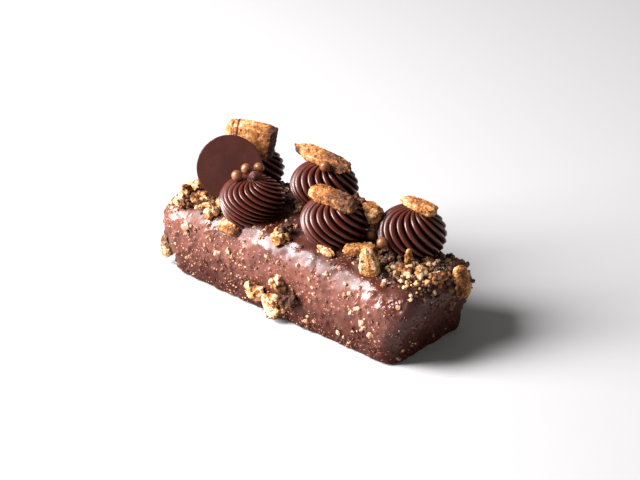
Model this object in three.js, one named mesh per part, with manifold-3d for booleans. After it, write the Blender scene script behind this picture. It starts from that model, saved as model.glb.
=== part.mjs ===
// A chocolate-glazed loaf cake. Five piped rosettes, a thin chocolate disc, broken cookies and
// crunchy pearls stand on top, and chopped nuts show through the glaze all over.
//
// Millimetres, +Z up, +X along the loaf, and the long side with the cookie cluster faces -Y.
// The origin is the middle of the flat underside.

import * as THREE from "three";
import { mergeVertices } from "three/addons/utils/BufferGeometryUtils.js";
import Module from "manifold-3d";

const wasm = await Module();
wasm.setup();

// ---------------------------------------------------------------- driving dimensions

const GAP = 0.3; // room left between two pieces that touch
const SAME_PLACE = 1e-3; // corners closer than this are one corner

// The loaf was baked in a tin, so it is narrower at its foot, and its top has risen to a
// crown a little left of the middle.
const LOAF = {
  halfLength: 85,
  halfWidth: 31,
  footHalfLength: 78,
  footHalfWidth: 29.5,
  crownHeight: 48,
  crownAt: -5, // where along the loaf the top is highest
  crownFallAlong: 8.5, // how much lower the crown is at the two ends
  crownFallAcross: 5.5, // and along the two long edges
  shoulder: 8, // radius of the top edge
  corner: 10, // radius of the upright edges
  footEdge: 1.5,
  unevenness: 0.4,
};
const LOAF_STEPS = { along: 11, across: 4, corner: 3, side: 5, shoulder: 4 };
const TOP_INSETS = [15, 22]; // rings between the shoulder and the ridge line

// A rosette is one squeeze from a star nozzle, twisted as the bag is lifted off.
const ROSETTE = {
  ridges: 20,
  levels: 10,
  ridgeDepth: 2,
  footAngle: -42, // degrees below the widest level at which the body meets the cake
  topAngle: 88,
  fullness: 0.9, // under 1, the body is fuller than an ellipse
  twistEarly: 2, // over 1, the ridges lean most near the foot and run straight to the tip
  waist: 8, // height of the widest level
  tip: 3.4,
  tipRadius: 1.6,
  mostDip: 5, // how far a foot may dip over the loaf's shoulder
  domeClearance: 0.6, // so that a plain dome of few sides clears the ridges
};
// Each leans with the slope it was piped on, in degrees about X and then about Y, and its
// tip was drawn off a little to one side.
const ROSETTES = {
  front_left: { at: [-29, -15.6], radius: 17, height: 18.9, twist: 140, lean: [0, 0], tipAt: [0.2, -0.2] },
  back_left: { at: [-54.6, 12.4], radius: 16.6, height: 19.5, twist: 95, lean: [0, 0], tipAt: [0.5, 0] },
  back_middle: { at: [-10, 17.6], radius: 18, height: 21.5, twist: 100, lean: [-7, 2], tipAt: [0.6, 0.6] },
  front_middle: { at: [20.4, -6.3], radius: 18, height: 19.5, twist: 100, lean: [0, 0], tipAt: [-0.6, 0.5] },
  back_right: { at: [53, 13.6], radius: 17.8, height: 22, twist: 95, lean: [-5, 3], tipAt: [0.4, -0.5] },
};

// The disc stands on edge in the glaze, turned to the front right corner and leaning back.
const DISC = {
  radius: 17.4,
  thickness: 2,
  edge: 0.5,
  sides: 32,
  at: [-53.7, -6.6, 59.6],
  facing: 41.7,
  lean: 20,
};
const PEARL_RADIUS = 2.8;

// ---------------------------------------------------------------- small tools

// A repeatable draw of numbers from 0 to 1.
function drawFrom(seed) {
  let state = seed * 2654435761;
  return () => {
    state = (state + 0x6d2b79f5) | 0;
    let t = Math.imul(state ^ (state >>> 15), 1 | state);
    t = (t + Math.imul(t ^ (t >>> 7), 61 | t)) ^ t;
    return ((t ^ (t >>> 14)) >>> 0) / 4294967296;
  };
}

const radians = THREE.MathUtils.degToRad;
const mix = THREE.MathUtils.lerp;
const ease = (t) => t * t * (3 - 2 * t);

// Merges shared corners and drops the triangles that collapsed to a line.
function weld(geometry) {
  const bare = geometry.index ? geometry.toNonIndexed() : geometry.clone();
  bare.deleteAttribute("normal");
  bare.deleteAttribute("uv");
  const merged = mergeVertices(bare, SAME_PLACE);
  const index = merged.index.array;
  const kept = [];
  for (let i = 0; i < index.length; i += 3) {
    const [a, b, c] = [index[i], index[i + 1], index[i + 2]];
    if (a !== b && b !== c && c !== a) kept.push(a, b, c);
  }
  merged.setIndex(kept);
  return merged;
}

function toSolid(geometry) {
  const welded = weld(geometry);
  return new wasm.Manifold(
    new wasm.Mesh({
      numProp: 3,
      vertProperties: new Float32Array(welded.attributes.position.array),
      triVerts: new Uint32Array(welded.index.array),
    }),
  );
}

function toGeometry(solid) {
  const mesh = solid.getMesh();
  const geometry = new THREE.BufferGeometry();
  geometry.setAttribute("position", new THREE.BufferAttribute(mesh.vertProperties, 3));
  geometry.setIndex(new THREE.BufferAttribute(mesh.triVerts, 1));
  return geometry;
}

// Skins a stack of rings, listed from the bottom up and each counter-clockwise seen from
// above. Each end is closed round one point.
function loft(rings, bottom, top) {
  const count = rings[0].length;
  const triangles = [];
  for (let k = 0; k < rings.length - 1; k++) {
    for (let i = 0; i < count; i++) {
      const j = (i + 1) % count;
      triangles.push(rings[k][i], rings[k][j], rings[k + 1][j]);
      triangles.push(rings[k][i], rings[k + 1][j], rings[k + 1][i]);
    }
  }
  const last = rings.at(-1);
  for (let i = 0; i < count; i++) {
    const j = (i + 1) % count;
    triangles.push(bottom, rings[0][j], rings[0][i]);
    if (top) triangles.push(top, last[i], last[j]);
  }
  return weld(new THREE.BufferGeometry().setFromPoints(triangles));
}

// ---------------------------------------------------------------- the loaf

function crown(x, y) {
  const along = LOAF.crownFallAlong * ((x - LOAF.crownAt) / LOAF.halfLength) ** 2;
  const across = LOAF.crownFallAcross * (y / LOAF.halfWidth) ** 2;
  return LOAF.crownHeight - along - across;
}

// A rounded rectangle, walked counter-clockwise from the front left.
function roundedRectangle(halfLength, halfWidth, radius) {
  const points = [];
  const r = Math.max(radius, 0);
  const [a, b] = [halfLength - r, halfWidth - r];
  const sides = [
    [-a, -halfWidth, a, -halfWidth, LOAF_STEPS.along],
    [halfLength, -b, halfLength, b, LOAF_STEPS.across],
    [a, halfWidth, -a, halfWidth, LOAF_STEPS.along],
    [-halfLength, b, -halfLength, -b, LOAF_STEPS.across],
  ];
  sides.forEach(([x0, y0, x1, y1, steps], turns) => {
    for (let i = 0; i <= steps; i++) {
      points.push([mix(x0, x1, i / steps), mix(y0, y1, i / steps)]);
    }
    const [cx, cy] = [[a, -b], [a, b], [-a, b], [-a, -b]][turns];
    for (let i = 1; i < LOAF_STEPS.corner; i++) {
      const angle = radians(-90 + 90 * (turns + i / LOAF_STEPS.corner));
      points.push([cx + r * Math.cos(angle), cy + r * Math.sin(angle)]);
    }
  });
  return points;
}

// How far the glazed side stands out or in at a place, so that it isn't dead flat.
function unevenness(x, y, z) {
  return LOAF.unevenness * (Math.sin(x / 9 + z / 6) + Math.sin(y / 7 - z / 5 + x / 17)) / 2;
}

// The loaf's half size a share t of the way up its side.
function sideSize(t) {
  const lift = ease(t);
  return [
    mix(LOAF.footHalfLength, LOAF.halfLength, lift),
    mix(LOAF.footHalfWidth, LOAF.halfWidth, lift),
  ];
}

// The loaf without its nuts, or larger by `grow` all round, to cut what leans on it.
function loafBody(grow = 0) {
  const rings = [];
  const ring = (halfLength, halfWidth, corner, height) => {
    rings.push(
      roundedRectangle(halfLength + grow, halfWidth + grow, corner).map(([x, y]) => {
        const z = height(x, y);
        const out = z > 0 ? unevenness(x, y, z) : 0;
        const [nx, ny] = [x / LOAF.halfLength, y / LOAF.halfWidth];
        return new THREE.Vector3(x + out * nx, y + out * ny, z + (z > 0 ? grow : -grow));
      }),
    );
  };
  const shoulderFoot = (x, y) => crown(x, y) - LOAF.shoulder;
  ring(
    LOAF.footHalfLength - LOAF.footEdge,
    LOAF.footHalfWidth - LOAF.footEdge,
    LOAF.corner - LOAF.footEdge,
    () => 0,
  );
  for (let i = 0; i <= LOAF_STEPS.side; i++) {
    const t = i / LOAF_STEPS.side;
    ring(...sideSize(t), LOAF.corner, (x, y) => mix(LOAF.footEdge, shoulderFoot(x, y), t));
  }
  const inward = (inset, height) =>
    ring(LOAF.halfLength - inset, LOAF.halfWidth - inset, LOAF.corner - inset, height);
  for (let i = 1; i <= LOAF_STEPS.shoulder; i++) {
    const angle = radians((90 * i) / LOAF_STEPS.shoulder);
    const inset = LOAF.shoulder * (1 - Math.cos(angle));
    const drop = LOAF.shoulder * (1 - Math.sin(angle));
    inward(inset, (x, y) => crown(x, y) - drop);
  }
  for (const inset of TOP_INSETS) inward(inset, crown);
  inward(LOAF.halfWidth + grow, crown); // the ridge line, where front and back meet
  return loft(rings, new THREE.Vector3(0, 0, 0));
}

// ---------------------------------------------------------------- rosettes

// A rosette with its foot round the origin. Its rings follow the outline of the body, and
// each ridge leans round it as it climbs. Below the foot it goes on down, to be cut to the
// cake's top. Made larger by `grow`, it is a plain dome that clears every ridge.
function rosetteBody({ radius, height, twist, tipAt }, grow = 0) {
  const ridged = grow === 0;
  const count = ridged ? ROSETTE.ridges * 2 : ROSETTE.ridges;
  const levels = ridged ? ROSETTE.levels : Math.ceil(ROSETTE.levels / 2);
  const clear = ridged ? 0 : grow + ROSETTE.domeClearance;
  const under = -Math.sin(radians(ROSETTE.footAngle));
  const rings = [];
  for (let k = 0; k <= levels; k++) {
    const t = k / levels;
    const angle = radians(mix(ROSETTE.footAngle, ROSETTE.topAngle, t));
    const wide = Math.cos(angle) ** ROSETTE.fullness;
    const reach = angle < 0 ? ROSETTE.waist / under : height - ROSETTE.waist;
    const rise = ROSETTE.waist + (reach + clear) * Math.sin(angle);
    const turn = ridged ? radians(-twist * (1 - (1 - t) ** ROSETTE.twistEarly)) : 0;
    const [middleX, middleY] = tipAt.map((offset) => offset * t ** 2);
    const points = [];
    for (let i = 0; i < count; i++) {
      const around = (2 * Math.PI * i) / count + turn;
      const groove = ridged && i % 2 === 0 ? ROSETTE.ridgeDepth * wide : 0;
      const r = Math.max(radius * wide - groove, ROSETTE.tipRadius) + clear;
      const [x, y] = [middleX + r * Math.cos(around), middleY + r * Math.sin(around)];
      points.push(new THREE.Vector3(x, y, rise));
    }
    rings.push(points);
  }
  const lowest = -ROSETTE.mostDip - clear;
  rings.unshift(rings[0].map((p) => new THREE.Vector3(p.x, p.y, lowest)));
  const bottom = new THREE.Vector3(0, 0, lowest);
  return loft(rings, bottom, new THREE.Vector3(...tipAt, height + ROSETTE.tip + clear));
}

// ---------------------------------------------------------------- broken cookies

const COOKIE_FACET = { size: 2.5, fewest: 2, most: 4 }; // how finely a face is broken up

// A broken piece of cookie: a box whose eight corners are each a little out of place, with
// worn edges and a crumbly face. It is `taper` times as wide and thick at its -X end.
function cookieBody({ size, seed, taper = 1, worn = 0.16, rough = 0.35, skew = 0.13 }, grow = 0) {
  const draw = drawFrom(seed);
  const swing = () => 2 * draw() - 1;
  const corners = Array.from({ length: 8 }, () => new THREE.Vector3(swing(), swing(), swing()));
  const [long, wide, thick] = size.map((s) => s / 2 + grow);
  const { size: facet, fewest, most } = COOKIE_FACET;
  const stepsAlong = (half) => THREE.MathUtils.clamp(Math.round(half / facet), fewest, most);
  const steps = [long, wide, thick].map(stepsAlong);
  const geometry = weld(new THREE.BoxGeometry(2, 2, 2, ...steps));
  const position = geometry.attributes.position;
  for (let i = 0; i < position.count; i++) {
    const p = new THREE.Vector3().fromBufferAttribute(position, i);
    const facesMet = [p.x, p.y, p.z].filter((v) => Math.abs(v) > 0.99).length;
    const shift = new THREE.Vector3();
    corners.forEach((corner, c) => {
      const near = (value, bit) => (1 + (c & bit ? value : -value)) / 2;
      shift.addScaledVector(corner, skew * near(p.x, 1) * near(p.y, 2) * near(p.z, 4));
    });
    const narrow = mix(taper, 1, (p.x + 1) / 2);
    p.multiplyScalar(1 - worn * (facesMet - 1)).add(shift);
    p.set(p.x * long, p.y * wide * narrow, p.z * thick * narrow);
    p.add(new THREE.Vector3(swing(), swing(), swing()).multiplyScalar(rough));
    position.setXYZ(i, p.x, p.y, p.z);
  }
  return geometry;
}

// Each piece lies with its long side along X before it is rolled about X, pitched about Y
// and headed about Z, in that order.
const piece = (name, at, turn, size, seed, form = {}) => ({ name, at, turn, size, seed, ...form });
// These are pressed into the soft cream of a rosette, which gives way round them.
const PRESSED_COOKIES = [
  piece("cookie_tall", [-51.8, 11, 62.4], [90, -90, 15], [34, 24.5, 9], 3, { taper: 0.5, worn: 0.05 }),
  piece("cookie_strip", [-66.6, 8.8, 66.2], [90, -82, 10], [24, 6.5, 8], 8, { worn: 0.1 }),
  piece("cookie_back_middle", [-11.2, 19.2, 69.8], [24, 4.5, 2], [37.5, 10.5, 6], 5, { worn: 0.2 }),
  piece("cookie_front_middle", [20.6, -8.6, 67.6], [14, 1, 0], [32, 11, 9], 12, { taper: 0.85 }),
  piece("cookie_back_right", [55, 16.6, 66.2], [14, 3, 0], [23, 9, 6], 9, { taper: 0.85 }),
];
const COOKIES = [
  piece("cookie_front_middle_end", [35, 3.6, 59.6], [16, 10, -8], [15, 10, 9.5], 21),
  piece("cookie_block", [41, -12.2, 47.4], [6, 0, 40], [18, 8, 6.5], 14),
  piece("cookie_chunk_front", [53.2, -18.7, 47.4], [90, 78, 30], [17, 12, 9], 31, { taper: 0.55 }),
  piece("cookie_sliver", [26.6, -21.1, 45.4], [0, 4, -20], [13, 4.5, 4], 17),
  piece("cookie_edge", [-32.3, -29, 40.8], [42, 4, 4], [15.5, 8.5, 7], 6),
  piece("cookie_nib_middle", [-1, -25.4, 45.2], [20, 10, -30], [9, 8, 7], 41),
  piece("cookie_low_left", [-12.4, -31.4, 12.2], [80, 30, 0], [11, 9, 6.5], 23),
  piece("cookie_low_right", [3.8, -32.2, 21.4], [75, 50, 0], [10, 8.5, 7], 27),
  piece("cookie_low_middle", [-0.2, -31.8, 8.2], [80, -25, 0], [14, 12, 7], 34),
  piece("cookie_left_end", [-83, -25.6, 10.6], [0, 82, 20], [14, 8, 7], 19, { taper: 0.75 }),
  piece("cookie_left_back", [-75.6, -11, 42.4], [0, 0, 30], [8, 7, 6], 51),
  piece("cookie_left_bit", [-77, -16, 41.4], [0, 20, 10], [6, 5, 4.5], 52),
  piece("cookie_left_corner", [-72.6, -24.4, 40.6], [20, 0, 60], [9, 7, 6.5], 53),
  piece("cookie_left_middle", [-60, -21.6, 43.6], [0, 20, 20], [10, 8, 6.5], 57),
  piece("cookie_left_front", [-48.8, -25.6, 43.2], [25, 0, -40], [10, 7, 6.5], 59),
  piece("cookie_left_inner", [-46.6, -19, 45.2], [0, 10, 60], [7, 5, 4.5], 60),
  piece("cookie_shard", [63.2, 0, 47.2], [0, -80, 35], [11, 5.5, 4], 61, { taper: 0.7 }),
  piece("cookie_nib_right", [67, -7.2, 43.5], [0, 0, 25], [8, 6, 5], 63),
  piece("cookie_nib_end", [74.4, -3.6, 42.3], [10, 0, 70], [6.5, 6, 5.5], 67),
  piece("cookie_right_block", [82, 0.4, 39.6], [0, -60, 20], [8.5, 6.5, 6], 71),
  piece("cookie_right_end", [85.3, 15, 34.2], [0, 80, 10], [18, 8.5, 7.5], 73),
];
const CHIPS = [
  piece("chip_nib_middle", [0.4, -21.8, 48], [20, -20, 30], [7.5, 6, 6], 81),
  piece("chip_low_middle", [12, -31.8, 14.4], [70, -50, 0], [10, 7, 6], 83),
  piece("chip_left_corner", [-67, -25.6, 40.8], [20, 0, 20], [7.5, 6.5, 6], 85),
  piece("chip_front_middle", [27.6, 4, 63.6], [0, 0, 20], [6, 5, 4.5], 87),
];

const PEARLS = {
  left_low: [-34.8, -20.9, 66.6],
  left_middle: [-37.6, -10.8, 65.9],
  left_high: [-34.9, -4.2, 64.9],
  back_middle: [-3.6, 12.3, 70],
  front_back: [39.2, -0.7, 50.5],
  front_right: [51.2, -6.2, 52.7],
};

// ---------------------------------------------------------------- disc, pearls and nuts

function discBody(grow = 0) {
  const [radius, half] = [DISC.radius + grow, DISC.thickness / 2 + grow];
  const profile = [
    [0, -half],
    [radius - DISC.edge, -half],
    [radius, -half + DISC.edge],
    [radius, half - DISC.edge],
    [radius - DISC.edge, half],
    [0, half],
  ].map(([r, z]) => new THREE.Vector2(r, z));
  return new THREE.LatheGeometry(profile, DISC.sides);
}

function pearlBody(grow = 0) {
  return new THREE.IcosahedronGeometry(PEARL_RADIUS + grow, 1);
}

// Chopped nuts under the glaze: each row of a field is spaced evenly and then jogged. A
// field is a stretch of the surface, walked by two shares from 0 to 1.
const side = (t) => sideSize(t)[1];
const end = (t) => sideSize(t)[0];
const height = (x, y, t) => mix(LOAF.footEdge, crown(x, y) - LOAF.shoulder, t);
const longSide = (facing) => (s, t) => {
  const x = mix(-end(t) + LOAF.corner, end(t) - LOAF.corner, s);
  return [x, facing * side(t), height(x, facing * side(t), t)];
};
const shortEnd = (facing) => (s, t) => {
  const y = mix(-side(t) + LOAF.corner, side(t) - LOAF.corner, s);
  return [facing * end(t), y, height(facing * end(t), y, t)];
};
const onTop = (x0, x1, y0, y1) => (s, t) => {
  const [x, y] = [mix(x0, x1, s), mix(y0, y1, t)];
  return [x, y, crown(x, y)];
};
const NUT_FIELDS = [
  { where: longSide(-1), columns: 17, rows: 4, sizes: [1, 2], seed: 101 },
  { where: longSide(1), columns: 14, rows: 3, sizes: [1, 2], seed: 102 },
  { where: shortEnd(-1), columns: 4, rows: 3, sizes: [1, 2], seed: 103 },
  { where: shortEnd(1), columns: 4, rows: 3, sizes: [1, 2], seed: 104 },
  { where: onTop(60, 79, -21, 22), columns: 4, rows: 9, sizes: [1.3, 2.2], seed: 105 },
  { where: onTop(-77, -44, -23, -12), columns: 5, rows: 2, sizes: [1.1, 1.8], seed: 106 },
  { where: onTop(-76, 76, 21, 23), columns: 16, rows: 1, sizes: [1.1, 1.9], seed: 107 },
  { where: onTop(-12, 62, -23, -19), columns: 9, rows: 1, sizes: [1, 1.6], seed: 108 },
];
const NUT_JOG = [0.15, 0.85]; // where in its cell of the field a nut may lie
const NUT_LONG = 1.3; // a nut's length over its thickness
const NUT_SUNK = 0.3; // share of a nut's radius by which its middle lies under the surface

function nuts() {
  const rows = NUT_FIELDS.flatMap(({ where, columns, rows, sizes, seed }) => {
    const draw = drawFrom(seed);
    return Array.from({ length: columns * rows }, (_, i) => {
      const s = ((i % columns) + mix(...NUT_JOG, draw())) / columns;
      const t = (Math.floor(i / columns) + mix(...NUT_JOG, draw())) / rows;
      return { at: where(s, t), radius: mix(...sizes, draw() ** 2), turn: [draw(), draw(), draw()] };
    });
  });
  return rows.sort((a, b) => b.radius - a.radius);
}

function nutBody({ at, radius, turn }) {
  const geometry = new THREE.OctahedronGeometry(radius, 0);
  geometry.scale(1, mix(0.75, 1, turn[0]), NUT_LONG);
  geometry.applyMatrix4(
    new THREE.Matrix4().makeRotationFromEuler(new THREE.Euler(...turn.map((d) => d * Math.PI))),
  );
  const inward = new THREE.Vector3(at[0] / LOAF.halfLength, at[1] / LOAF.halfWidth, 0);
  const onSide = at[2] < crown(at[0], at[1]) - 1;
  if (onSide) inward.setComponent(Math.abs(inward.x) > Math.abs(inward.y) ? 1 : 0, 0);
  else inward.set(0, 0, 1);
  inward.normalize().multiplyScalar(-radius * NUT_SUNK);
  return geometry.translate(at[0] + inward.x, at[1] + inward.y, at[2] + inward.z);
}

// ---------------------------------------------------------------- materials

const paint = (color, roughness) => new THREE.MeshStandardMaterial({ color, roughness, metalness: 0 });
const MATERIALS = {
  glaze: paint(0x5d3a35, 0.32),
  cream: paint(0x4a231d, 0.4),
  disc: paint(0x55302c, 0.3),
  pearl: paint(0xb07a54, 0.35),
  cookie: paint(0xd39a55, 0.85),
  chip: paint(0x2e1c1a, 0.6),
};

// ---------------------------------------------------------------- putting it together

const cake = new THREE.Group();
const occupied = []; // what stands so far, each larger by the gap

// Places a piece, cuts away what its neighbours fill, and remembers the room it takes.
function place(name, make, material, at = [0, 0, 0], turn = [0, 0, 0]) {
  const mesh = new THREE.Mesh(make(0), material);
  mesh.name = name;
  mesh.position.set(...at);
  mesh.rotation.set(...turn.map(radians), "ZYX");
  mesh.updateMatrixWorld();
  const solidInPlace = (grow) => toSolid(make(grow).applyMatrix4(mesh.matrixWorld));
  let solid = solidInPlace(0);
  for (const other of occupied) solid = solid.subtract(other);
  const bodies = solid.decompose().sort((a, b) => b.volume() - a.volume());
  mesh.geometry = toGeometry(bodies[0]).applyMatrix4(mesh.matrixWorld.clone().invert());
  occupied.push(solidInPlace(GAP));
  cake.add(mesh);
}

const placeBroken = (rows, material) => {
  for (const row of rows) place(row.name, (grow) => cookieBody(row, grow), material, row.at, row.turn);
};

occupied.push(toSolid(loafBody(GAP)));
place("chocolate_disc", discBody, MATERIALS.disc, DISC.at, [-DISC.lean, 0, DISC.facing]);
placeBroken(PRESSED_COOKIES, MATERIALS.cookie);
for (const [name, row] of Object.entries(ROSETTES)) {
  const onTheCake = [...row.at, crown(...row.at)];
  const make = (grow) => rosetteBody(row, grow);
  place(`rosette_${name}`, make, MATERIALS.cream, onTheCake, [...row.lean, 0]);
}
for (const [name, at] of Object.entries(PEARLS)) {
  place(`pearl_${name}`, pearlBody, MATERIALS.pearl, at);
}
placeBroken(COOKIES, MATERIALS.cookie);
placeBroken(CHIPS, MATERIALS.chip);

// The nuts keep clear of everything that stands on the loaf or leans on it.
const rooms = occupied.slice(1).map((solid) => {
  const { min, max } = solid.boundingBox();
  return new THREE.Box3(new THREE.Vector3(...min), new THREE.Vector3(...max));
});
let glazed = toSolid(loafBody());
for (const nut of nuts()) {
  const geometry = nutBody(nut);
  geometry.computeBoundingBox();
  const reach = geometry.boundingBox.expandByScalar(GAP);
  if (rooms.some((room) => room.intersectsBox(reach))) continue;
  glazed = glazed.add(toSolid(geometry));
}
const loaf = new THREE.Mesh(toGeometry(glazed), MATERIALS.glaze);
loaf.name = "loaf";
cake.add(loaf);

export default cake;
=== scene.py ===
# %% [markdown]
# # A chocolate loaf cake
# A small loaf cake under a dark chocolate glaze with chopped nuts in it. Five piped
# rosettes, a thin chocolate disc, broken cookies and crunchy pearls stand on top. The CAD
# model gives every place and size. This lesson dresses it: each solid is replaced by a
# finer mesh of the same form, and each food gets a material made only from nodes.

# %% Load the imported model
import math
import random
from collections import namedtuple

import bmesh
import bpy
import numpy as np
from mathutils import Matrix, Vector, kdtree, noise
from mathutils.bvhtree import BVHTree


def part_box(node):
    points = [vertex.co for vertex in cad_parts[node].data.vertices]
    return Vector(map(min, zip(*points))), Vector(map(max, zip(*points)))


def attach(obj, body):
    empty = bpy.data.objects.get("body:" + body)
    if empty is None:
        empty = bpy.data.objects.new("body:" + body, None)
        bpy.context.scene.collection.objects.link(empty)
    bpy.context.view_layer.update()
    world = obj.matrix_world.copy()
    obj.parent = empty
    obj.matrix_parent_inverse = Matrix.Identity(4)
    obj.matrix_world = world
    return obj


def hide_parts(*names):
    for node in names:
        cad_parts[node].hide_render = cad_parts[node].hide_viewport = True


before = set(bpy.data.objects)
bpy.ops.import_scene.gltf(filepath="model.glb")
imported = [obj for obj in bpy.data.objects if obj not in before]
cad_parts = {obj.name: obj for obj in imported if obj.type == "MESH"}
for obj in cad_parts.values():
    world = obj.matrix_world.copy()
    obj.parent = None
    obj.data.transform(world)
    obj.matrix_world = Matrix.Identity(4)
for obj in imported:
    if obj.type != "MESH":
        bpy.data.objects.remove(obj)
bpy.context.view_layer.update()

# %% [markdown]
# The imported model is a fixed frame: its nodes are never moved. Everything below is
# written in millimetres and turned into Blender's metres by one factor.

MM = 0.001


# %% [markdown]
# ## The camera
# A food photographer stands back with a long lens, so the cake hardly narrows with
# distance. The camera is given by the direction it looks from and the point it looks at,
# which is easier to reason about than three separate angles.

# %% Camera
CAMERA_AZIMUTH = 41.743  # degrees round from the long front side
CAMERA_ELEVATION = 28.416
CAMERA_DISTANCE = 1.2206
CAMERA_AIM = Vector((-0.00171, 0.00634, 0.03002))
LENS = 131.79
scene = bpy.context.scene


def direction(azimuth, elevation):
    """A unit vector towards a place that far round from -Y and that far up."""
    a, e = math.radians(azimuth), math.radians(elevation)
    return Vector((math.sin(a) * math.cos(e), -math.cos(a) * math.cos(e), math.sin(e)))


camera_data = bpy.data.cameras.new("camera")
camera_data.lens = LENS
camera = bpy.data.objects.new("camera", camera_data)
scene.collection.objects.link(camera)
camera.location = CAMERA_AIM + CAMERA_DISTANCE * direction(CAMERA_AZIMUTH, CAMERA_ELEVATION)
camera.rotation_euler = (math.radians(90 - CAMERA_ELEVATION), 0, math.radians(CAMERA_AZIMUTH))
scene.camera = camera
print("camera stands at", [round(value, 3) for value in camera.location])

# %% [markdown]
# ## Light and floor
# One large window stands to the left of the cake and a little above it. It must be big: its
# reflection is the long pale band on the glaze's shoulder, and a small lamp would leave a
# hard dot there. A dim panel at the right does what a photographer's white card does: it
# lifts the dark ends. Pale walls send back a little light from all round.

# %% Walls, window and panel
WALL_COLOUR, WALL_LIGHT = (1.0, 0.98, 0.96, 1), 0.14
LIGHTS = {  # metres, watts, colour; then degrees round from the camera and up, metres away
    "window": ((0.55, 1.1), 60, (1.0, 0.975, 0.98), -84, 34, 1.15),
    "pale panel": ((0.5, 0.7), 1.2, (1.0, 1.0, 1.0), 62, 22, 1.3),
}

world = bpy.data.worlds.new("pale room")
world.use_nodes = True
world.node_tree.nodes["Background"].inputs["Color"].default_value = WALL_COLOUR
world.node_tree.nodes["Background"].inputs["Strength"].default_value = WALL_LIGHT
scene.world = world
scene.view_settings.view_transform = "Standard"


def area_light(name, size, power, colour, round_from_camera, elevation, distance):
    """A soft rectangular light that faces the cake."""
    data = bpy.data.lights.new(name, "AREA")
    data.shape = "RECTANGLE"
    data.size, data.size_y = size
    data.energy = power
    data.color = colour
    light = bpy.data.objects.new(name, data)
    away = direction(CAMERA_AZIMUTH + round_from_camera, elevation)
    light.location = CAMERA_AIM + distance * away
    light.rotation_euler = away.to_track_quat("Z", "Y").to_euler()
    scene.collection.objects.link(light)


for name, row in LIGHTS.items():
    area_light(name, *row)
    print(name, "of", row[0], "m")

# %% Floor
FLOOR_HALF, FLOOR_COLOUR, FLOOR_ROUGHNESS = 3.0, (0.5, 0.5, 0.503, 1), 0.8

floor_corners = ((-1, -1), (1, -1), (1, 1), (-1, 1))
floor_points = [(x * FLOOR_HALF, y * FLOOR_HALF, 0) for x, y in floor_corners]
floor_mesh = bpy.data.meshes.new("floor")
floor_mesh.from_pydata(floor_points, [], [(0, 1, 2, 3)])
paper = bpy.data.materials.new("pale paper")
paper.use_nodes = True
paper.node_tree.nodes["Principled BSDF"].inputs["Base Color"].default_value = FLOOR_COLOUR
paper.node_tree.nodes["Principled BSDF"].inputs["Roughness"].default_value = FLOOR_ROUGHNESS
floor_mesh.materials.append(paper)
floor = bpy.data.objects.new("floor", floor_mesh)
scene.collection.objects.link(floor)
print("a floor", 2 * FLOOR_HALF, "m wide")

# %% [markdown]
# ## Effects that several foods share
# Chocolate glaze, piped cream and a cast disc are all never quite even: the gloss comes
# and goes, and the colour is mottled. A painted image could hold that, but it would blur
# from close by. So such effects are made of noise, once each, as node groups with named
# inputs, and each material sets its own values. A group gives out only what changes over
# the surface; the shader itself stays in the material.


# %% Helpers that make nodes
def add_node(tree, kind, **settings):
    """A new node with some of its properties set."""
    node = tree.nodes.new(kind)
    for key, value in settings.items():
        setattr(node, key, value)
    return node


def feed(tree, node, inputs):
    """Sets a node's inputs, each to a number, a colour or another node's output."""
    for label, value in inputs.items():
        socket = node.inputs[label]
        if isinstance(value, bpy.types.NodeSocket):
            tree.links.new(value, socket)
        else:
            socket.default_value = (*value, 1) if socket.type == "RGBA" else value
    return node


def maths(tree, operation, *numbers):
    """One sum on numbers or on other nodes' outputs."""
    node = add_node(tree, "ShaderNodeMath", operation=operation)
    return feed(tree, node, dict(enumerate(numbers))).outputs["Value"]


def stretch(tree, source, low, high, to_low=0.0, to_high=1.0, way="SMOOTHSTEP"):
    """Maps a number from one range to another."""
    node = add_node(tree, "ShaderNodeMapRange", interpolation_type=way)
    ends = {"From Min": low, "From Max": high, "To Min": to_low, "To Max": to_high}
    return feed(tree, node, {"Value": source, **ends}).outputs["Result"]


def blended(tree, mask, first, second, way="MIX"):
    """One colour where the mask is 0 and another where it is 1."""
    node = add_node(tree, "ShaderNodeMix", data_type="RGBA", blend_type=way)
    return feed(tree, node, {"Factor": mask, "A": first, "B": second}).outputs["Result"]


def noise_texture(tree, scale, detail=3.0, roughness=0.5):
    """Noise in the object's own coordinates; the scale is in bumps a metre."""
    place = add_node(tree, "ShaderNodeTexCoord").outputs["Object"]
    inputs = {"Vector": place, "Scale": scale, "Detail": detail, "Roughness": roughness}
    return feed(tree, add_node(tree, "ShaderNodeTexNoise"), inputs).outputs["Fac"]


# %% Uneven gloss
NUMBER, COLOUR = "NodeSocketFloat", "NodeSocketColor"


def new_group(name, inputs, outputs):
    """A shader group with these sockets, what comes into it, and its last node."""
    group = bpy.data.node_groups.new(name, "ShaderNodeTree")
    for label, value in inputs.items():
        kind = COLOUR if isinstance(value, tuple) else NUMBER
        socket = group.interface.new_socket(label, in_out="INPUT", socket_type=kind)
        socket.default_value = value
    for label, kind in outputs.items():
        group.interface.new_socket(label, in_out="OUTPUT", socket_type=kind)
    return group, group.nodes.new("NodeGroupInput").outputs, group.nodes.new("NodeGroupOutput")


def make_uneven_gloss():
    """Gloss that comes and goes, and the small waves that go with it."""
    inputs = {"Scale": 200, "Glossy": 0.25, "Dull": 0.45}
    outputs = {"Roughness": NUMBER, "Height": NUMBER}
    group, given, end = new_group("uneven gloss", inputs, outputs)
    patches = noise_texture(group, given["Scale"])
    roughness = stretch(group, patches, 0.35, 0.65, given["Glossy"], given["Dull"])
    finer = maths(group, "MULTIPLY", given["Scale"], 4.3)
    feed(group, end, {"Roughness": roughness, "Height": noise_texture(group, finer)})
    return group


uneven_gloss = make_uneven_gloss()
print("group:", uneven_gloss.name)


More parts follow.
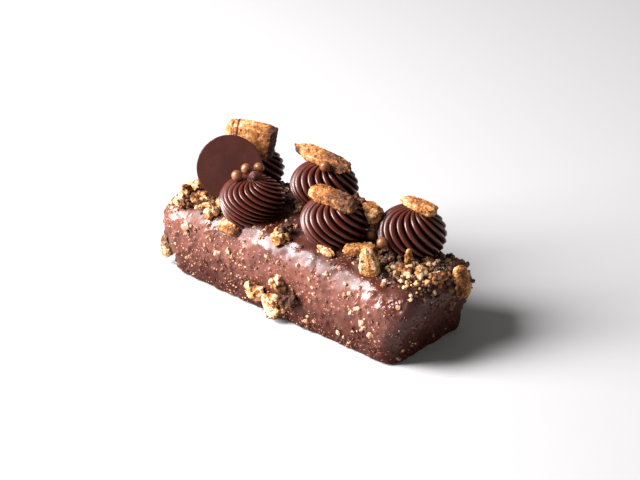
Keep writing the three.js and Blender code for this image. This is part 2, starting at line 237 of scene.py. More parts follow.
# %% Mottled colour
def make_mottle():
    """Two colours that drift into each other."""
    colours = {"First": (0.1, 0.04, 0.03, 1), "Second": (0.2, 0.1, 0.08, 1)}
    inputs = {"Scale": 100, **colours, "Sharpness": 0.5}
    group, given, end = new_group("mottle", inputs, {"Color": COLOUR, "Mask": NUMBER})
    drift = noise_texture(group, given["Scale"], detail=5.0, roughness=0.6)
    half = stretch(group, given["Sharpness"], 0, 1, 0.3, 0.02, way="LINEAR")
    low, high = maths(group, "SUBTRACT", 0.5, half), maths(group, "ADD", 0.5, half)
    mask = stretch(group, drift, low, high)
    colour = blended(group, mask, given["First"], given["Second"])
    feed(group, end, {"Color": colour, "Mask": mask})
    return group


mottle = make_mottle()
print("group:", mottle.name)


# %% Fine specks
def make_specks():
    """Small round specks, as of ground nut or crumb, as a mask."""
    inputs = {"Scale": 1000, "Size": 0.25, "Share": 0.3}
    group, given, end = new_group("specks", inputs, {"Mask": NUMBER})
    place = add_node(group, "ShaderNodeTexCoord").outputs["Object"]
    cells = add_node(group, "ShaderNodeTexVoronoi")
    feed(group, cells, {"Vector": place, "Scale": given["Scale"]})
    pick = add_node(group, "ShaderNodeSeparateColor")
    feed(group, pick, {"Color": cells.outputs["Color"]})
    near = maths(group, "LESS_THAN", cells.outputs["Distance"], given["Size"])
    chosen = maths(group, "LESS_THAN", pick.outputs["Red"], given["Share"])
    feed(group, end, {"Mask": maths(group, "MULTIPLY", near, chosen)})
    return group


specks = make_specks()
print("group:", specks.name)

# %% [markdown]
# ## Materials
# Chocolate is a deep red-brown under a clear skin of cocoa butter. Most of the paleness
# seen on it is the window's reflection, so the base colour stays dark and the gloss does
# the work. A scanned material would carry its own light with it; one made of nodes takes
# the light of this room.


# %% Helpers for materials
def use_group(tree, group, **values):
    """The outputs of a group that is placed in a material with its own values."""
    return feed(tree, add_node(tree, "ShaderNodeGroup", node_tree=group), values).outputs


def mottled(tree, scale, first, second, sharpness):
    """A colour that drifts between two."""
    values = dict(Scale=scale, First=first, Second=second, Sharpness=sharpness)
    return use_group(tree, mottle, **values)["Color"]


def new_material(name):
    """An empty material, its tree and its shader."""
    material = bpy.data.materials.new(name)
    material.use_nodes = True
    print("material:", name)
    return material, material.node_tree, material.node_tree.nodes["Principled BSDF"]


def read_mark(tree, label):
    """A number that the mesh carries at each of its points."""
    return add_node(tree, "ShaderNodeAttribute", attribute_name=label).outputs["Fac"]


def bump(tree, height, depth):
    """A normal with relief too fine for the mesh, its depth in metres."""
    inputs = {"Height": height, "Distance": depth}
    return feed(tree, add_node(tree, "ShaderNodeBump"), inputs).outputs["Normal"]


# %% Chocolate: cream and disc
def smooth_finish(name, colours, gloss, waves, more):
    """A smooth skin. Colours are the drift's scale, two colours and their sharpness; gloss
    is its scale, the glossiest and the dullest; waves are in metres."""
    material, tree, shader = new_material(name)
    scale, glossy, dull = gloss
    uneven = use_group(tree, uneven_gloss, Scale=scale, Glossy=glossy, Dull=dull)
    inputs = {
        "Base Color": mottled(tree, *colours),
        "Roughness": uneven["Roughness"],
        "Normal": bump(tree, uneven["Height"], waves),
    }
    feed(tree, shader, {**inputs, **more})
    return material


cream = smooth_finish(
    "chocolate cream",
    colours=(120, (0.065, 0.0105, 0.005), (0.1, 0.018, 0.0095), 0.3),
    gloss=(260, 0.3, 0.4),
    waves=0.00003,
    more={"Specular Tint": (1, 0.88, 0.87)},
)
cast_chocolate = smooth_finish(
    "cast chocolate",
    colours=(60, (0.05, 0.014, 0.0105), (0.075, 0.022, 0.017), 0.3),
    gloss=(40, 0.14, 0.34),
    waves=0.00008,
    more={},
)

# %% [markdown]
# Little light gets down between two ridges of cream, and none of the window is mirrored
# there. The mesh marks how deep in a valley each point lies. The cream reads that mark:
# shade is painted into its colour there and its shine is taken away. Where a thin ridge is
# seen from its side some light comes through it, so there a painted red glow is mixed in.

# %% The cream's valleys and edges
# painted shade in the valleys, and the shine that is left there
VALLEY_PAINTED_SHADE, VALLEY_SHINE = (0.006, 0.002, 0.0015), 0.08
# a painted red glow of light through thin edges seen from the side, and its largest share
EDGE_PAINTED_GLOW, EDGE_SHARE = (0.3, 0.05, 0.02), 0.6
RIDGE_SHINE = 0.75


def paint_shade_into_valleys(material):
    """Paints shade into the valleys and a red glow onto the edges of a finish that is already made."""
    tree = material.node_tree
    shader = tree.nodes["Principled BSDF"]
    colour = shader.inputs["Base Color"].links[0].from_socket
    # painted glow where the cream is seen edge-on
    facing = add_node(tree, "ShaderNodeLayerWeight").outputs["Facing"]
    colour = blended(tree, stretch(tree, facing, 0.6, 1.0, 0, EDGE_SHARE), colour, EDGE_PAINTED_GLOW)
    valley = read_mark(tree, "valley")
    colour = blended(tree, valley, colour, VALLEY_PAINTED_SHADE)
    shine = stretch(tree, valley, 0, 0.8, RIDGE_SHINE, VALLEY_SHINE)
    feed(tree, shader, {"Base Color": colour, "Specular IOR Level": shine})


paint_shade_into_valleys(cream)
# the black in the valleys is painted shade
print("the cream is black in its valleys and shines on its ridges")

# %% [markdown]
# The glaze is chocolate with ground nuts stirred in. Under the skin the nuts show as pale
# and dark specks that gather in clusters. Shade is painted into the colour near the foot,
# on top and at the plain right end, and that end is nearly free of specks. So broad noise
# turns the specks up and down, and height and length paint shade into the colour.

# %% Chocolate glaze
GLAZE_SHADES = (0.1, 0.0232, 0.0118), (0.2, 0.063, 0.038)
FOOT_PAINTED_SHADE, FOOT_SHADE_HEIGHT = (0.036, 0.0078, 0.0045), 0.032  # painted shade, and metres above the foot that it reaches
# painted shade for the top and the plain right end
TOP_AND_END_PAINTED_SHADE = (0.045, 0.01, 0.006)
PLAIN_END = (0.062, 0.08)  # metres along the loaf over which the specks die out and shade is painted in
CREST = (0.034, 0.043)  # metres up over which shade is painted into the glaze's top
DULL_HEIGHT, FOOT_SHINE, TOP_SHINE = 0.038, 0.08, 0.52
FLECKS = (  # scale, size, scale of the clusters, largest share, and colour
    (1250, 0.34, 85, 0.2, (0.42, 0.2, 0.13)),
    (800, 0.3, 60, 0.22, (0.03, 0.009, 0.006)),
    (640, 0.3, 110, 0.16, (0.5, 0.27, 0.17)),
)


def nut_glaze():
    """The glaze, with shade painted in by its height and its length, and specks in it."""
    material, tree, shader = new_material("chocolate glaze")
    place = add_node(tree, "ShaderNodeTexCoord").outputs["Object"]
    place = feed(tree, add_node(tree, "ShaderNodeSeparateXYZ"), {"Vector": place}).outputs
    colour = mottled(tree, 65, *GLAZE_SHADES, 0.35)
    # painted shade near the foot
    painted_foot_shade = stretch(tree, place["Z"], FOOT_SHADE_HEIGHT, 0, 0, 0.9)
    colour = blended(tree, painted_foot_shade, colour, FOOT_PAINTED_SHADE)
    # painted shade on the top and at the plain right end
    for side, reach, share in (("Z", CREST, 0.8), ("X", PLAIN_END, 0.75)):
        colour = blended(tree, stretch(tree, place[side], *reach, 0, share), colour, TOP_AND_END_PAINTED_SHADE)
    nutty = stretch(tree, place["X"], *PLAIN_END, 1, 0.12)
    for scale, size, spread, most, shade in FLECKS:
        clusters = stretch(tree, noise_texture(tree, spread, 2), 0.4, 0.66, 0.02, most)
        share = maths(tree, "MULTIPLY", clusters, nutty)
        fleck = use_group(tree, specks, Scale=scale, Size=size, Share=share)["Mask"]
        colour = blended(tree, fleck, colour, shade)
    uneven = use_group(tree, uneven_gloss, Scale=75, Glossy=0.2, Dull=0.56)
    relief = maths(tree, "ADD", uneven["Height"], noise_texture(tree, 1500))
    inputs = {
        "Base Color": colour,
        "Roughness": uneven["Roughness"],
        "Normal": bump(tree, relief, 0.0001),
        "Specular IOR Level": stretch(tree, place["Z"], 0, DULL_HEIGHT, FOOT_SHINE, TOP_SHINE),
        "Specular Tint": (1, 0.96, 0.98),
    }
    feed(tree, shader, inputs)
    return material


glaze = nut_glaze()

# %% [markdown]
# A cookie is pale where it is thin or rubbed, golden in the middle of its bake, brown where
# the oven caught it, and dark with cocoa on the side that was dipped. The mesh code below
# marks every point with how deep it lies, how pale its grain is and how much cocoa it has,
# and the material turns those three marks into colour. From the depth it paints shade into
# the hollows and a painted highlight onto the raised crumb.

# %% Baked cookie
BAKED = [  # from scorched to rubbed pale
    (0.0, (0.03, 0.011, 0.006)),
    (0.28, (0.12, 0.038, 0.012)),
    (0.52, (0.3, 0.105, 0.024)),
    (0.74, (0.48, 0.22, 0.07)),
    (0.9, (0.6, 0.34, 0.17)),
    (1.0, (0.74, 0.51, 0.33)),
]
BLOTCHES = ((130, 0.26), (420, 0.24), (1200, 0.22))  # scale, and how much they shift the bake
# painted shade in the cookie's hollows
PORE_PAINTED_SHADE = (0.11, 0.038, 0.012)
COCOA_SHADES = (0.03, 0.011, 0.007), (0.1, 0.036, 0.016)


def colour_row(tree, number, stops, way="LINEAR"):
    """A colour from a row of them, picked by a number from 0 to 1."""
    ramp = add_node(tree, "ShaderNodeValToRGB")
    ramp.color_ramp.interpolation = way
    row = ramp.color_ramp.elements
    while len(row) < len(stops):
        row.new(0.5)
    for stop, (position, shade) in zip(row, stops):
        stop.position = position
        stop.color = (*shade, 1)
    return feed(tree, ramp, {"Fac": number}).outputs["Color"]


def baked_cookie():
    """The finish of all cookies and chips."""
    material, tree, shader = new_material("baked cookie")
    paleness, depth = read_mark(tree, "paleness"), read_mark(tree, "crumb_depth")
    for scale, swing in BLOTCHES:
        shift = stretch(tree, noise_texture(tree, scale), 0.3, 0.7, -0.5, 0.5)
        paleness = maths(tree, "MULTIPLY_ADD", shift, swing, paleness)
    # a painted highlight on the raised crumb
    painted_rim_highlight = stretch(tree, depth, 0.5, 0.1)
    paleness = maths(tree, "MULTIPLY_ADD", painted_rim_highlight, 0.22, paleness)
    # painted shade in the hollows, from the depth mark
    painted_pore_shade = stretch(tree, depth, 0.55, 0.95, 0, 0.85)
    crumb = blended(tree, painted_pore_shade, colour_row(tree, paleness, BAKED), PORE_PAINTED_SHADE)
    patches = stretch(tree, noise_texture(tree, 480, 2), 0.38, 0.55, 0.4, 1)
    cocoa = maths(tree, "MULTIPLY", read_mark(tree, "cocoa"), patches)
    inputs = {
        "Base Color": blended(tree, cocoa, crumb, mottled(tree, 420, *COCOA_SHADES, 0.4)),
        "Roughness": 0.7,
        "Specular IOR Level": 0.25,
        "Normal": bump(tree, noise_texture(tree, 2200, 4), 0.00022),
        "Subsurface Weight": 0.1,
        "Subsurface Radius": (0.0014, 0.0008, 0.0004),
        "Subsurface Scale": 1.0,
    }
    feed(tree, shader, inputs)
    return material


cookie_finish = baked_cookie()

# %% [markdown]
# A pearl's shell is caramel chocolate, tumbled until it shines. Loose nuts and crumbs are
# many and small, so one material serves all bits of a kind: each bit is an island of its
# mesh, and picks its own shade from a row by a random number.

# %% Pearls, nuts and crumbs
pearl_finish = smooth_finish(
    "caramel pearl",
    colours=(300, (0.2, 0.072, 0.028), (0.28, 0.11, 0.046), 0.2),
    gloss=(500, 0.22, 0.34),
    waves=0.00005,
    more={"Metallic": 0.15},
)


def crumbs_material(name, roughness, *shades):
    """Every loose bit takes its own shade from a row of colours."""
    material, tree, shader = new_material(name)
    bit = add_node(tree, "ShaderNodeNewGeometry").outputs["Random Per Island"]
    stops = [(index / len(shades), shade) for index, shade in enumerate(shades)]
    colour = colour_row(tree, bit, stops, way="CONSTANT")
    mask = stretch(tree, use_group(tree, mottle, Scale=900, Sharpness=0.4)["Mask"], 0, 1, 0, 0.7)
    inputs = {
        "Base Color": blended(tree, mask, colour, (0.55, 0.42, 0.36), way="MULTIPLY"),
        "Roughness": roughness,
        "Normal": bump(tree, noise_texture(tree, 2500), 0.0002),
    }
    feed(tree, shader, inputs)
    return material


nut_finish = crumbs_material(
    "chopped nuts",
    0.5,
    (0.62, 0.35, 0.22),
    (0.4, 0.17, 0.095),
    (0.74, 0.49, 0.33),
    (0.2, 0.07, 0.04),
    (0.52, 0.25, 0.155),
)
large_nut_finish = crumbs_material(
    "large nuts", 0.5, (0.58, 0.31, 0.19), (0.7, 0.45, 0.3), (0.46, 0.21, 0.12)
)
golden_finish = crumbs_material(
    "cookie crumbs",
    0.7,
    (0.68, 0.42, 0.2),
    (0.46, 0.22, 0.08),
    (0.8, 0.57, 0.34),
    (0.22, 0.09, 0.035),
    (0.64, 0.37, 0.17),
    (0.74, 0.48, 0.25),
)
large_crumb_finish = crumbs_material(
    "large cookie crumbs",
    0.7,
    (0.72, 0.46, 0.23),
    (0.8, 0.57, 0.33),
    (0.6, 0.34, 0.14),
    (0.76, 0.5, 0.27),
)
dark_finish = crumbs_material(
    "cocoa crumbs",
    0.55,
    (0.07, 0.028, 0.014),
    (0.11, 0.045, 0.02),
    (0.2, 0.085, 0.032),
    (0.035, 0.015, 0.01),
    (0.15, 0.06, 0.022),
)

# %% [markdown]
# ## Helpers that put a mesh in the scene
# Every piece is a mesh made in code. It rides on the cake's one body, stands for the CAD
# solids that it replaces, and takes its finish as its one material.


# %% Add a piece
def add_piece(name, mesh, material, nodes=(), smooth=True):
    """Puts the mesh in the scene as a piece of the cake, in place of these CAD nodes."""
    mesh.materials.clear()
    mesh.materials.append(material)
    mesh.polygons.foreach_set("use_smooth", [smooth] * len(mesh.polygons))
    mesh.update()
    piece = bpy.data.objects.new(name, mesh)
    scene.collection.objects.link(piece)
    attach(piece, "root")
    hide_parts(*nodes)
    print(name, "has", len(mesh.vertices), "points")


def mesh_from(name, points, faces):
    """A mesh from points in millimetres."""
    mesh = bpy.data.meshes.new(name)
    mesh.from_pydata((np.asarray(points) * MM).tolist(), [], np.asarray(faces).tolist())
    mesh.update()
    return mesh


def skin(levels, around):
    """The four-sided faces of a stack of rings, each with this many points."""
    level, step = np.meshgrid(np.arange(levels - 1), np.arange(around), indexing="ij")
    after = (step + 1) % around
    low, high = level * around, (level + 1) * around
    return np.stack([low + step, low + after, high + after, high + step], -1).reshape(-1, 4)


def weld(mesh, nearest, first_ring=0):
    """Joins points nearer than this many millimetres and turns every face outward. The
    mesh's first ring may be closed by one face."""
    work = bmesh.new()
    work.from_mesh(mesh)
    if first_ring:
        work.verts.ensure_lookup_table()
        work.faces.new(list(reversed(work.verts[:first_ring])))
    bmesh.ops.remove_doubles(work, verts=work.verts, dist=nearest * MM)
    bmesh.ops.recalc_face_normals(work, faces=work.faces)
    work.to_mesh(mesh)
    work.free()


# %% Read, move and mark a mesh's points
def read_points(mesh, kind="co"):
    """A mesh's points, or its normals, as an array."""
    values = np.zeros(len(mesh.vertices) * 3)
    if kind == "co":
        mesh.vertices.foreach_get("co", values)
    else:
        mesh.vertex_normals.foreach_get("vector", values)
    return values.reshape(-1, 3)


def move_skin(mesh, lifts):
    """Moves each point outward by its own number of millimetres."""
    moved = read_points(mesh) + read_points(mesh, "normal") * lifts[:, None] * MM
    mesh.vertices.foreach_set("co", moved.ravel())
    mesh.update()


def mark(mesh, label, values):
    """Writes one number at each point, for a material to read."""
    attribute = mesh.attributes.new(label, "FLOAT", "POINT")
    attribute.data.foreach_set("value", np.asarray(values, float))


def turned(points, degrees, axis):
    """The points turned about X, Y or Z, which are axes 0, 1 and 2."""
    a = math.radians(degrees)
    first, second = ((1, 2), (2, 0), (0, 1))[axis]
    matrix = np.eye(3)
    matrix[first, first] = matrix[second, second] = math.cos(a)
    matrix[first, second], matrix[second, first] = -math.sin(a), math.sin(a)
    return points @ matrix.T


# %% [markdown]
# ## The glazed loaf
# The loaf is baked in a tin that is wider at the top, and rises to a soft crown. It is then
# glazed in one pour, which rounds its edges. A box could be sculpted to that form by hand.
# Here the same few sizes as in the CAD source give it, so that it fits the solid exactly,
# with rings close enough together to carry the lumps of the glaze.

# %% The loaf's sizes, in millimetres
HALF_LENGTH, HALF_WIDTH = 85, 31
FOOT_HALF_LENGTH, FOOT_HALF_WIDTH = 78, 29.5
CROWN_HEIGHT, CROWN_AT, FALL_ALONG, FALL_ACROSS = 48, -5, 8.5, 5.5
SHOULDER, CORNER, FOOT_EDGE, UNEVENNESS = 8, 10, 1.5, 0.4
TIGHTEST_CORNER = 2.5  # corner radius of the innermost rings
ALONG, ACROSS, ROUND = 240, 84, 12  # faces on a long side, a short side and a corner
SIDE_RINGS, SHOULDER_RINGS, TOP_RINGS = 72, 22, 40


def crown(x, y):
    """Height of the loaf's top."""
    along = FALL_ALONG * ((x - CROWN_AT) / HALF_LENGTH) ** 2
    return CROWN_HEIGHT - along - FALL_ACROSS * (y / HALF_WIDTH) ** 2


def rounded_rectangle(half_length, half_width, radius):
    """Points round a rounded rectangle, counter-clockwise from the front left."""
    a, b = half_length - radius, half_width - radius
    sides = [
        (-a, -half_width, a, -half_width, ALONG),
        (half_length, -b, half_length, b, ACROSS),
        (a, half_width, -a, half_width, ALONG),
        (-half_length, b, -half_length, -b, ACROSS),
    ]
    centres = [(a, -b), (a, b), (-a, b), (-a, -b)]
    points = []
    for turn, (x0, y0, x1, y1, steps) in enumerate(sides):
        share = np.arange(steps + 1)[:, None] / steps
        points.append(np.array([x0, y0]) * (1 - share) + np.array([x1, y1]) * share)
        angle = np.radians(-90 + 90 * (turn + np.arange(1, ROUND) / ROUND))
        arc = np.column_stack([np.cos(angle), np.sin(angle)]) * radius
        points.append(np.array(centres[turn]) + arc)
    return np.vstack(points)


# %% The loaf's rings
def loaf_ring(half_length, half_width, radius, height):
    """One ring of the loaf, with the slight waves of its sides."""
    x, y = rounded_rectangle(half_length, half_width, radius).T
    z = height(x, y)
    wave = np.sin(x / 9 + z / 6) + np.sin(y / 7 - z / 5 + x / 17)
    out = np.where(z > 0, UNEVENNESS * wave / 2, 0)
    return np.column_stack([x * (1 + out / HALF_LENGTH), y * (1 + out / HALF_WIDTH), z])


def loaf_rings():
    """All rings of the smooth loaf, from its foot to its ridge line."""
    foot_length, foot_width = FOOT_HALF_LENGTH - FOOT_EDGE, FOOT_HALF_WIDTH - FOOT_EDGE
    yield loaf_ring(foot_length, foot_width, CORNER - FOOT_EDGE, lambda x, y: 0 * x)
    for t in np.linspace(0, 1, SIDE_RINGS):
        lift = t * t * (3 - 2 * t)
        yield loaf_ring(
            FOOT_HALF_LENGTH + (HALF_LENGTH - FOOT_HALF_LENGTH) * lift,
            FOOT_HALF_WIDTH + (HALF_WIDTH - FOOT_HALF_WIDTH) * lift,
            CORNER,
            lambda x, y: FOOT_EDGE * (1 - t) + (crown(x, y) - SHOULDER) * t,
        )
    for angle in np.linspace(0, math.pi / 2, SHOULDER_RINGS + 1)[1:]:
        inset, drop = SHOULDER * (1 - math.cos(angle)), SHOULDER * (1 - math.sin(angle))
        yield loaf_ring(
            HALF_LENGTH - inset,
            HALF_WIDTH - inset,
            max(CORNER - inset, TIGHTEST_CORNER),
            lambda x, y: crown(x, y) - drop,
        )
    for share in np.linspace(0, 1, TOP_RINGS + 1)[1:]:
        inset = SHOULDER + (HALF_WIDTH - SHOULDER) * share
        radius = TIGHTEST_CORNER * (1 - share)
        yield loaf_ring(HALF_LENGTH - inset, HALF_WIDTH - inset, radius, crown)


rings = list(loaf_rings())
loaf_mesh = mesh_from("glazed_loaf", np.vstack(rings), skin(len(rings), len(rings[0])))
weld(loaf_mesh, 0.02, first_ring=len(rings[0]))
print("smooth loaf:", len(loaf_mesh.vertices), "points")

# %% [markdown]
# ## Where bits lie
# Chopped nuts and crumbs are strewn by aiming at the loaf from outside and keeping the
# place that is hit. A place too near a topping is passed over, so nothing grows out of a
# rosette. Every draw is seeded, so each run strews the same bits.

# %% Aim at the loaf
FAR = 200  # millimetres; where an aim starts from
SHOULDER_HEIGHT, SLANT = 35, math.sqrt(0.5)
CLUSTER_WIDTH, CLUSTER_EDGE = 8, 0.12
TOPPING_GAP = 0.4
AIMS = {
    "front": lambda a, b: ((a, -FAR, b), (0, 1, 0)),
    "back": lambda a, b: ((a, FAR, b), (0, -1, 0)),
    "left": lambda a, b: ((-FAR, a, b), (1, 0, 0)),
    "right": lambda a, b: ((FAR, a, b), (-1, 0, 0)),
    "top": lambda a, b: ((a, b, FAR), (0, 0, -1)),
    "shoulder": lambda a, b: ((a, -FAR, SHOULDER_HEIGHT + FAR + b), (0, SLANT, -SLANT)),
}


def tree_of(meshes):
    """A search tree over several meshes."""
    points, faces = [], []
    for mesh in meshes:
        first = len(points)
        points += [vertex.co.copy() for vertex in mesh.vertices]
        faces += [[first + index for index in face.vertices] for face in mesh.polygons]
    return BVHTree.FromPolygons(points, faces)


loaf_tree = tree_of([loaf_mesh])
topping_tree = tree_of([node.data for name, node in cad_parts.items() if name != "loaf"])


def strew(aim, first, second, count, sizes, seed, settle=1.0, clear=0.35, crowding=0.0):
    """Places on the loaf: (point, normal, radius) in millimetres. With settle above 1,
    more of them lie towards the start of the second range. Crowding is the share that is
    kept only inside clusters."""
    draw = random.Random(seed)
    places = []
    for _ in range(count):
        a = first[0] + (first[1] - first[0]) * draw.random()
        b = second[0] + (second[1] - second[0]) * draw.random() ** settle
        radius = sizes[0] + (sizes[1] - sizes[0]) * draw.random() ** 2
        choosy = draw.random() < crowding
        origin, heading = AIMS[aim](a, b)
        hit, normal, _, _ = loaf_tree.ray_cast(Vector(origin) * MM, Vector(heading))
        if hit is None or (choosy and noise.noise(hit / MM / CLUSTER_WIDTH) < CLUSTER_EDGE):
            continue
        if topping_tree.find_nearest(hit)[3] > (clear * radius + TOPPING_GAP) * MM:
            places.append((hit / MM, normal, radius))
    return places


# %% [markdown]
# The glaze flows over the nuts near its surface and leaves a soft swelling over each. It
# also sags in broad waves, and at the foot it sets in a ragged edge. These three are moved
# into the mesh itself, so that they also show in the outline.

# %% Lumps in the glaze
LARGEST_SWELLING, SWELLING_RISE = 2.1, 0.46
WAVES = ((0.8, 11), (0.6, 5), (0.16, 2.7))  # height and width
RAGGED_HEIGHT, RAGGED_WAVES = 3.0, ((0.5, 1.7), (0.5, 5))
swellings = (
    strew("front", (-84, 84), (1, 37), 800, (0.8, 2.1), 11, crowding=0.6)
    + strew("back", (-84, 84), (1, 45), 1100, (0.8, 2.1), 12, crowding=0.5)
    + strew("left", (-31, 31), (1, 42), 330, (0.8, 2.0), 13, crowding=0.5)
    + strew("right", (-31, 31), (1, 42), 200, (0.8, 2.0), 14, crowding=0.5)
    + strew("top", (-80, 80), (-26, 26), 150, (0.8, 1.7), 15, crowding=0.5)
)


def search_tree(points):
    """A tree that finds the nearest of some points."""
    tree = kdtree.KDTree(len(points))
    for index, point in enumerate(points):
        tree.insert(point, index)
    tree.balance()
    return tree


swelling_tree = search_tree([point for point, _, _ in swellings])


def waves_at(point, waves):
    """The sum of several noises, each with a height and a width."""
    return sum(high * noise.noise(point / wide) for high, wide in waves)


def glaze_lift(point):
    """How far the glaze stands out at a point, in millimetres."""
    lift = waves_at(point, WAVES)
    for _, index, distance in swelling_tree.find_range(point, LARGEST_SWELLING):
        radius = swellings[index][2]
        if distance < radius:
            lift += SWELLING_RISE * radius * (1 - (distance / radius) ** 2) ** 2
    return lift + max(0.0, 1 - point.z / RAGGED_HEIGHT) * waves_at(point, RAGGED_WAVES)


spots = read_points(loaf_mesh) / MM
lifts = np.array([glaze_lift(Vector(spot)) for spot in spots])
move_skin(loaf_mesh, np.where(spots[:, 2] < 0.2, 0, lifts))
add_piece("glazed_loaf", loaf_mesh, glaze, ["loaf"])

# %% [markdown]
# ## Piped rosettes
# A rosette is one squeeze from a star nozzle, turned as the bag is lifted. The nozzle's
# teeth leave ridges with sharp valleys between them, and the turn makes them lean. The
# body is a stack of rings whose radius follows a full oval. Round each ring the radius
# falls into one valley after each ridge, and each ring is turned further than the one
# below. The last rings follow a small arc, where the nozzle was pulled away sideways.

# %% The rosettes' sizes, in millimetres and degrees
RIDGES, POINTS_A_RIDGE, LEVELS, TIP_LEVELS = 18, 14, 80, 16
VALLEY_DEPTH, FOOT_ANGLE, TOP_ANGLE, FULLNESS, TWIST_EARLY = 4.0, -42, 88, 0.9, 1.6
DEEPEST_SHARE = 0.5  # a valley takes at most this share of the radius
VALLEY_FROM, VALLEY_REACH = 0.1, 0.4  # where the painted shade in a valley starts, and over how much
SAG_LEVELS, MOST_SAG = 36, 4  # the lowest rings follow the glaze, down to this far
WAIST, TIP_RADIUS, FOOT_DROP, FOOT_DRAWN_IN = 8, 2.2, 5, 0.7
VALLEY_SHARES = (0.82, 1.12)  # the shallowest and the deepest valley, as shares
WOBBLE, WOBBLE_ROUND, WOBBLE_UP = 0.25, 3, 4  # its size, and its pace round and upward
TIP_VALLEY, THINNEST = 0.3, 0.02  # the tip's shallower valleys, and its last radius
SUNK, PRESSED = 0.4, 0.15  # how deep the foot stands in the glaze, and a cookie in the cream
HOOK_WAY, HOOK_TURN = (0.746, 0.666), 150  # where the tip hooks to, and how far, in degrees
ROSETTES = {  # place, radius, height, twist, lean about X and Y, shift of the tip, its hook
    "front_left": ((-29, -15.6), 17, 18.9, 152, (0, 0), (0.2, -0.2), 2.7),
    "back_left": ((-54.6, 12.4), 16.6, 19.5, 95, (0, 0), (0.5, 0), 0.5),
    "back_middle": ((-10, 17.6), 18, 21.5, 100, (-7, 2), (0.6, 0.6), 0.5),
    "front_middle": ((20.4, -6.3), 18, 19.5, 100, (0, 0), (-0.6, 0.5), 0.5),
    "back_right": ((53, 13.6), 17.8, 22, 95, (-5, 3), (0.4, -0.5), 0.5),
}
PRESSED_BY = {
    "back_middle": "cookie_back_middle",
    "front_middle": "cookie_front_middle",
    "back_right": "cookie_back_right",
}
SHARE = np.arange(RIDGES * POINTS_A_RIDGE) / (RIDGES * POINTS_A_RIDGE)  # of the way round
TURN = 2 * math.pi * SHARE
RAYS = np.column_stack([np.cos(TURN), np.sin(TURN)])
RIDGE_VALLEY = 1 - (1 - np.abs(2 * ((SHARE * RIDGES) % 1.0) - 1) ** 1.9) ** 0.8  # 0 on a crest


# %% Shape a rosette
def body_rings(radius, height, twist, tip, seed):
    """The rings of the full, ridged body."""
    draw = random.Random(seed)
    strength = np.repeat([draw.uniform(*VALLEY_SHARES) for _ in range(RIDGES)], POINTS_A_RIDGE)
    below = -math.sin(math.radians(FOOT_ANGLE))
    for t in np.linspace(0, 1, LEVELS):
        angle = math.radians(FOOT_ANGLE + (TOP_ANGLE - FOOT_ANGLE) * t)
        wide = math.cos(angle) ** FULLNESS
        reach = WAIST / below if angle < 0 else height - WAIST
        rise = WAIST + reach * math.sin(angle)
        outer = math.hypot(radius * wide, TIP_RADIUS)
        up = WOBBLE_UP * t + seed
        around = [Vector((*(WOBBLE_ROUND * ray), up)) for ray in RAYS]
        wobble = WOBBLE * wide * np.array([noise.noise(spot) for spot in around])
        valley = VALLEY_DEPTH * wide**0.6 * RIDGE_VALLEY * strength
        r = outer - np.minimum(valley, outer * DEEPEST_SHARE) + wobble
        a = TURN + math.radians(-twist * (1 - (1 - t) ** TWIST_EARLY))
        x, y = tip[0] * t**2 + r * np.cos(a), tip[1] * t**2 + r * np.sin(a)
        yield np.column_stack([x, y, 0 * a + rise])


def tip_rings(height, twist, tip, hook):
    """The rings of the tip, turned along the arc in which the nozzle left."""
    across, up = np.array([*HOOK_WAY, 0]), np.array([0, 0, 1])
    aside = np.array([-HOOK_WAY[1], HOOK_WAY[0], 0])
    a = TURN - math.radians(twist) - math.atan2(HOOK_WAY[1], HOOK_WAY[0])
    for s in np.arange(1, TIP_LEVELS + 1) / TIP_LEVELS:
        bend = math.radians(HOOK_TURN) * s
        middle = hook * ((1 - math.cos(bend)) * across + math.sin(bend) * up)
        middle += np.array([*tip, height])
        sideways = math.cos(bend) * across - math.sin(bend) * up
        r = TIP_RADIUS * (1 - s**2) ** 0.7 * (1 - TIP_VALLEY * (1 - s) * RIDGE_VALLEY) + THINNEST
        yield np.outer(r * np.cos(a), sideways) + np.outer(r * np.sin(a), aside) + middle


# %% [markdown]
# Cream is soft. Its foot sinks until it meets the glaze, which isn't flat, and a cookie laid
# on a rosette presses it down. A cloth or fluid solver could find that shape, but it would
# take minutes; a ray from each point finds it at once.


# %% Let the cream settle
def sagged(points, levels):
    """The cream's foot, lowered until it meets the glaze under it."""
    rings = points.reshape(levels, -1, 3)
    share = np.clip(1 - np.arange(levels) / SAG_LEVELS, 0, 1) ** 2
    for column in range(rings.shape[1]):
        x, y, z = rings[1, column]
        hit = loaf_tree.ray_cast(Vector((x, y, FAR)) * MM, Vector((0, 0, -1)))[0]
        gap = MOST_SAG if hit is None else z - hit.z / MM
        rings[:, column, 2] -= share * min(max(gap + SUNK, 0), MOST_SAG)
    return rings.reshape(-1, 3)


def press_under(points, cookie):
    """Pushes the cream down under a cookie that was laid on it."""
    low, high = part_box(cookie)
    under = tree_of([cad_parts[cookie].data])
    for point in points:
        if low.x < point[0] * MM < high.x and low.y < point[1] * MM < high.y:
            hit = under.ray_cast(Vector((point[0], point[1], 0)) * MM, Vector((0, 0, 1)))[0]
            if hit is not None and point[2] * MM > hit.z:
                point[2] = hit.z / MM + PRESSED


# %% Pipe the rosettes
def piped(place, radius, height, twist, lean, tip, hook, seed):
    """The points of a rosette that stands on the cake."""
    rings = list(body_rings(radius, height, twist, tip, seed))
    foot = rings[0] * FOOT_DRAWN_IN
    foot[:, 2] = -FOOT_DROP
    points = np.vstack([foot, *rings, *tip_rings(height, twist, tip, hook)])
    points = turned(turned(points, lean[0], 0), lean[1], 1)
    points += np.array([*place, crown(*place)])
    return sagged(points, len(points) // len(SHARE))


